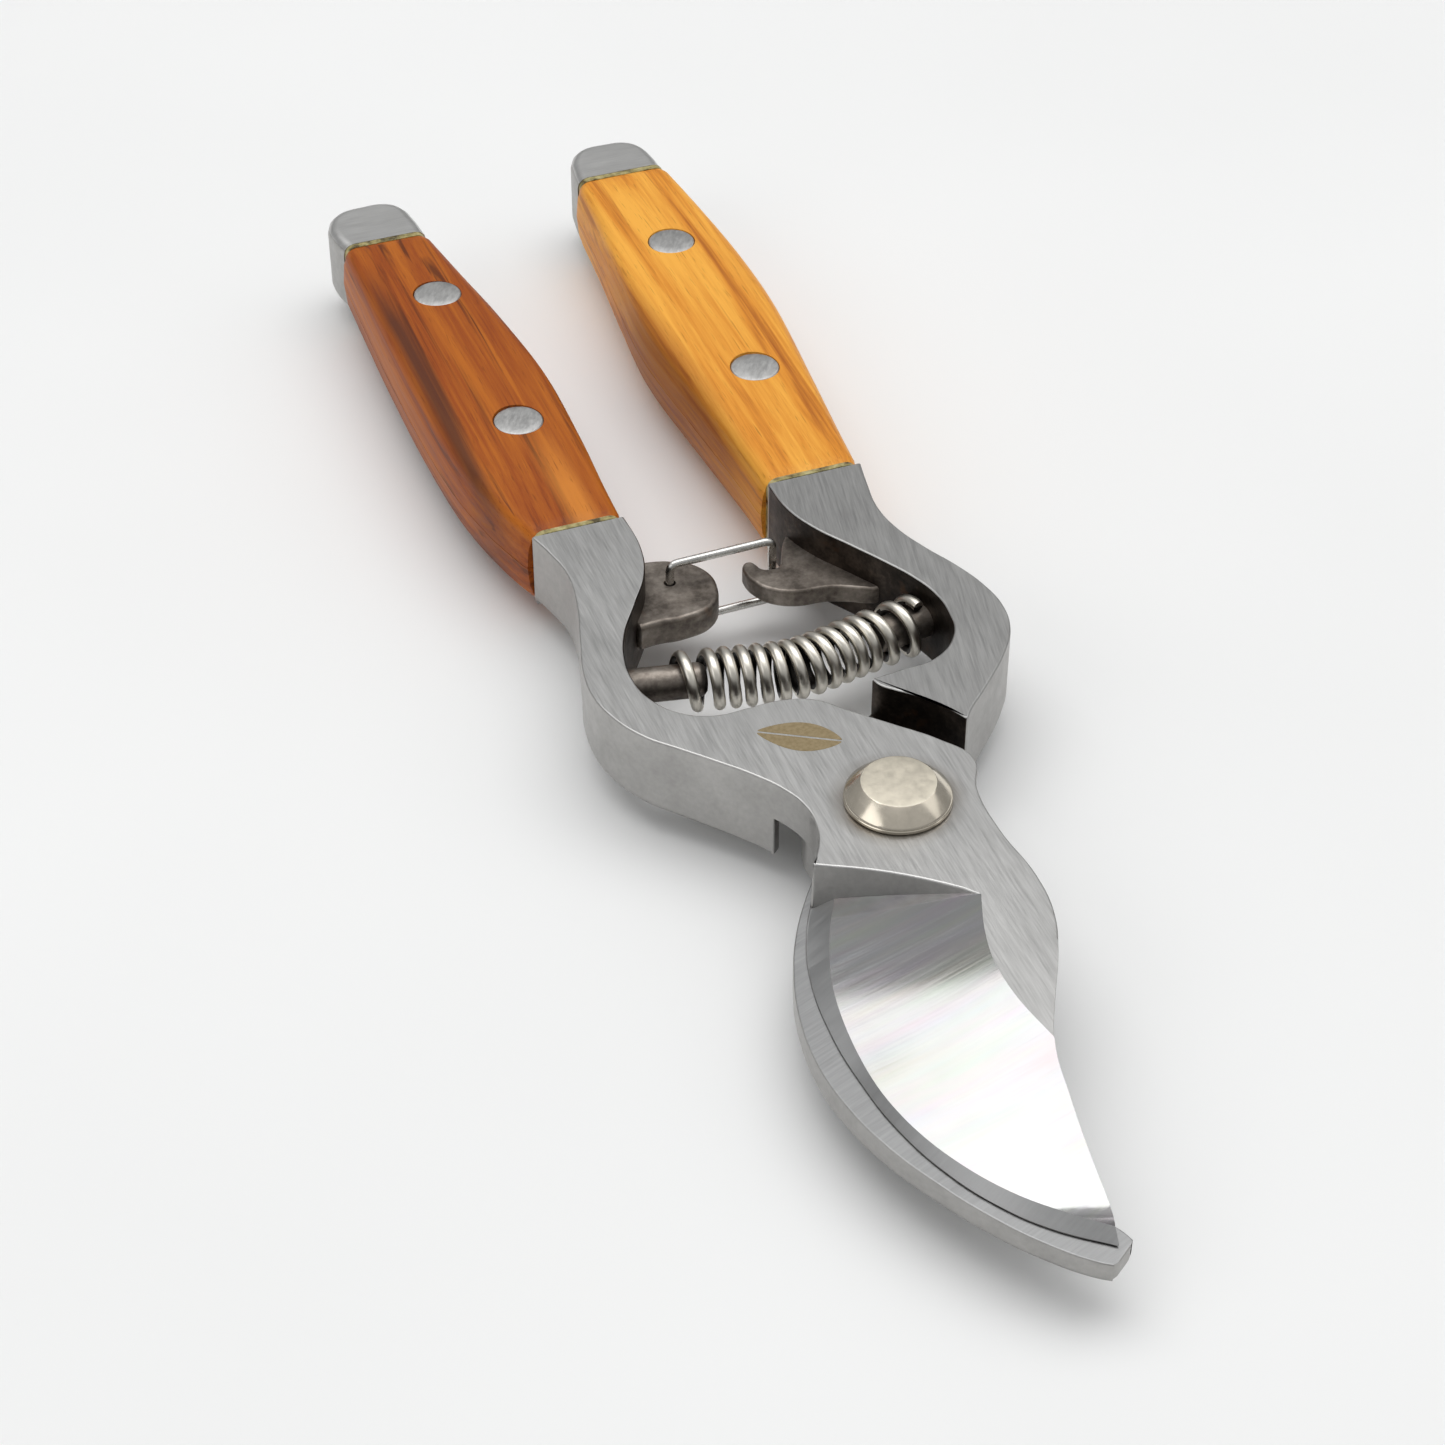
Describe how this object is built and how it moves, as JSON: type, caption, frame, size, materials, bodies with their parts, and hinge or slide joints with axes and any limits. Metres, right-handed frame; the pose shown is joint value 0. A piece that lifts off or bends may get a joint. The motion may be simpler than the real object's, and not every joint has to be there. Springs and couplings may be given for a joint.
{
  "type": "bypass hand pruner",
  "caption": "Bypass pruner with a ground cutting blade over a hooked lower blade, bowed steel arms, a coil spring, a wire latch and riveted wooden handle scales.",
  "frame": {"origin": "on the pivot axis, at the flat end of the pivot bolt that the tool stands on", "axes": "+Z along the pivot axis, up to the bolt head; -Y towards the blade tips; +Y towards the handle ends; +X towards the handle of the lower, hooked blade"},
  "size_m": [0.0498, 0.1978, 0.0155],
  "materials": {
    "steel_arm_a": "satin ground, forged sides",
    "steel_arm_b": "satin ground, forged sides",
    "nickel_bolt": "warm nickel, satin flat top",
    "zinc_washer": "zinc plated",
    "zinc_nut": "zinc plated",
    "reddish_wood": "oiled, reddish brown with dark streaks",
    "honey_wood": "oiled, honey orange",
    "rivet_metal": "ground flush",
    "dark_stud": "dark forging scale",
    "spring_steel": "bright drawn wire",
    "latch_steel": "bright drawn wire"
  },
  "bodies": {
    "arm_a": {"arm_a_upper_blade": "steel_arm_a", "pivot_bolt": "nickel_bolt", "pivot_washer": "zinc_washer", "pivot_nut": "zinc_nut", "scale_a_top": "reddish_wood", "scale_a_bottom": "reddish_wood", "rivet_a_front": "rivet_metal", "rivet_a_rear": "rivet_metal", "spring_stud_a": "dark_stud", "return_spring": "spring_steel"},
    "arm_b": {"arm_b_lower_blade": "steel_arm_b", "scale_b_top": "honey_wood", "scale_b_bottom": "honey_wood", "rivet_b_front": "rivet_metal", "rivet_b_rear": "rivet_metal", "spring_stud_b": "dark_stud"},
    "latch": {"latch_wire": "latch_steel"}
  },
  "joints": [
    {"name": "handle_pivot", "type": "hinge", "parent": "arm_a", "child": "arm_b", "pos_m": [0, 0, 0.008], "axis": [0, 0, -1], "range_deg": [0, 32], "deforming": ["return_spring"]},
    {"name": "latch_swing", "type": "hinge", "parent": "arm_a", "child": "latch", "pos_m": [-0.008, 0.0469, 0.008], "axis": [0, 0, 1], "range_deg": [0, 90]}
  ],
  "couplings": [
    {"joint": "latch_swing", "follows": "handle_pivot", "ratio": 2.8}
  ]
}
